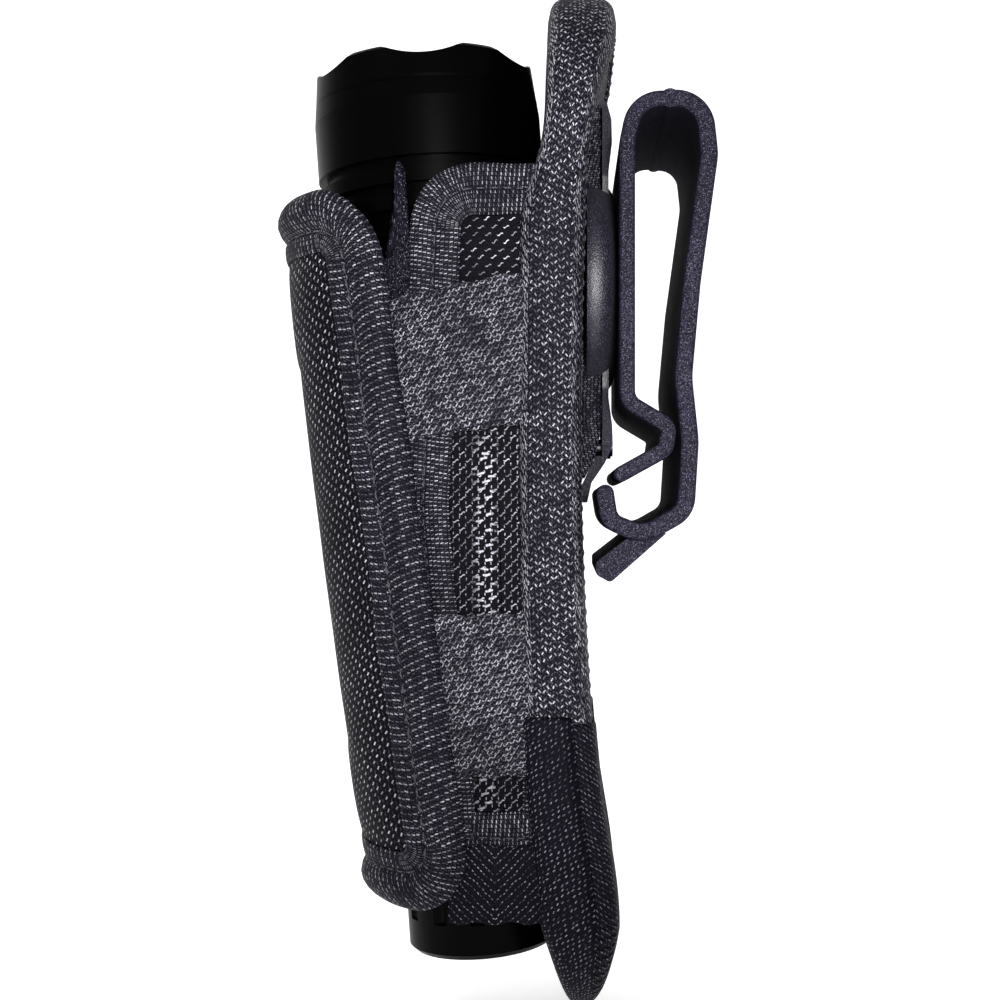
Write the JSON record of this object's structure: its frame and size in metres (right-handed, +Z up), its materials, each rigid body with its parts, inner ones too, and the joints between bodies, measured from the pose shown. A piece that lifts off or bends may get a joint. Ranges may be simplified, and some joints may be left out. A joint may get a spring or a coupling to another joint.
{
  "type": "holstered tactical flashlight",
  "caption": "Black tactical flashlight with a scalloped bezel, head up in a padded nylon holster with a swivelling locking belt clip.",
  "frame": {"origin": "on the belt side of the clip's inner arm, on the swivel's axis, where the duty belt bears", "axes": "+X from the holster towards the belt side of the clip, +Y along the belt, +Z up"},
  "size_m": [0.0761, 0.0546, 0.1775],
  "materials": {
    "black_anodised": "black hard anodised, glossy",
    "lens_glass": "coated clear glass",
    "seal_rubber": "matte",
    "reflector_chrome": "vacuum metallised, smooth",
    "white_plastic": "satin",
    "board": "solder mask",
    "led_phosphor": "silicone dome over phosphor",
    "brass": "machined",
    "lead_insulation": "insulated wire",
    "spring_brass": "plated spring wire",
    "battery_wrap": "shrink sleeve",
    "plated_steel": "nickel plated",
    "black_plastic": "moulded",
    "boot_rubber": "matte moulded rubber",
    "stiffener_plastic": "sheet plastic",
    "foam": "closed-cell foam",
    "lining_fabric": "brushed lining",
    "cover_fabric": "ballistic nylon, coarse weave",
    "binding_tape": "ribbed herringbone tape",
    "net_fabric": "open knitted net over lining",
    "elastic_webbing": "woven elastic",
    "strap_webbing": "woven nylon strap",
    "moulded_plastic": "glass-filled nylon, fine spark texture",
    "blackened_steel": "black oxide"
  },
  "bodies": {
    "clip": {"clip_inner": "moulded_plastic"},
    "clip_arm": {"clip_outer": "moulded_plastic"},
    "holster": {"back_binding": "binding_tape", "back_cover": "cover_fabric", "back_lining": "lining_fabric", "back_pad": "foam", "back_stiffener": "stiffener_plastic", "base_rivets": "blackened_steel", "bottom_strap_left": "binding_tape", "bottom_strap_right": "binding_tape", "front_binding": "binding_tape", "front_cover": "cover_fabric", "front_pad": "lining_fabric", "lower_elastic_left": "elastic_webbing", "lower_elastic_right": "elastic_webbing", "pivot_nut": "brass", "pivot_screw": "blackened_steel", "rear_strap": "strap_webbing", "side_wing_left": "net_fabric", "side_wing_right": "net_fabric", "swivel_base": "moulded_plastic", "swivel_washer": "white_plastic", "upper_elastic_left": "elastic_webbing", "upper_elastic_right": "elastic_webbing", "wing_binding_left": "binding_tape", "wing_binding_right": "binding_tape"},
    "flashlight": {"bezel_ring": "black_anodised", "lens": "lens_glass", "lens_gasket": "seal_rubber", "reflector": "reflector_chrome", "centering_ring": "white_plastic", "led_emitter": "led_phosphor", "led_board": "board", "led_leads": "lead_insulation", "head_housing": "black_anodised", "driver_board": "board", "driver_ring": "brass", "front_spring": "spring_brass", "head_o_ring": "seal_rubber", "body_tube": "black_anodised", "tail_o_ring": "seal_rubber", "battery_cell": "battery_wrap", "battery_terminal": "plated_steel"},
    "tail_carriage": {"tail_spring": "spring_brass"},
    "tail_cap": {"tail_cap": "black_anodised", "switch_body": "black_plastic", "switch_ring": "brass", "switch_board": "board"},
    "button": {"button_boot": "boot_rubber", "switch_plunger": "white_plastic"}
  },
  "joints": [
    {"name": "clip_flex", "type": "hinge", "parent": "clip", "child": "clip_arm", "pos_m": [0.0057, 0, 0.0281], "axis": [0, -1, 0], "range_deg": [0, 14], "stiffness_Nm_per_rad": 6},
    {"name": "clip_swivel", "type": "hinge", "parent": "clip", "child": "holster", "pos_m": [0, 0, 0], "axis": [1, 0, 0], "range_deg": [-90, 90]},
    {"name": "light_draw", "type": "slide", "parent": "holster", "child": "flashlight", "axis": [-0.0698, 0, 0.9976], "range_m": [0, 0.16]},
    {"name": "cap_travel", "type": "slide", "parent": "flashlight", "child": "tail_carriage", "axis": [0.0698, 0, -0.9976], "range_m": [0, 0.0075]},
    {"name": "cap_turn", "type": "hinge", "parent": "tail_carriage", "child": "tail_cap", "pos_m": [-0.0259, 0, -0.1161], "axis": [0.0698, 0, -0.9976], "range_deg": [0, 1800]},
    {"name": "button_press", "type": "slide", "parent": "tail_cap", "child": "button", "axis": [-0.0698, 0, 0.9976], "range_m": [0, 0.0018], "stiffness_N_per_m": 1200}
  ],
  "couplings": [
    {"joint": "cap_travel", "follows": "cap_turn", "m_per_rad": 0.00023873}
  ]
}
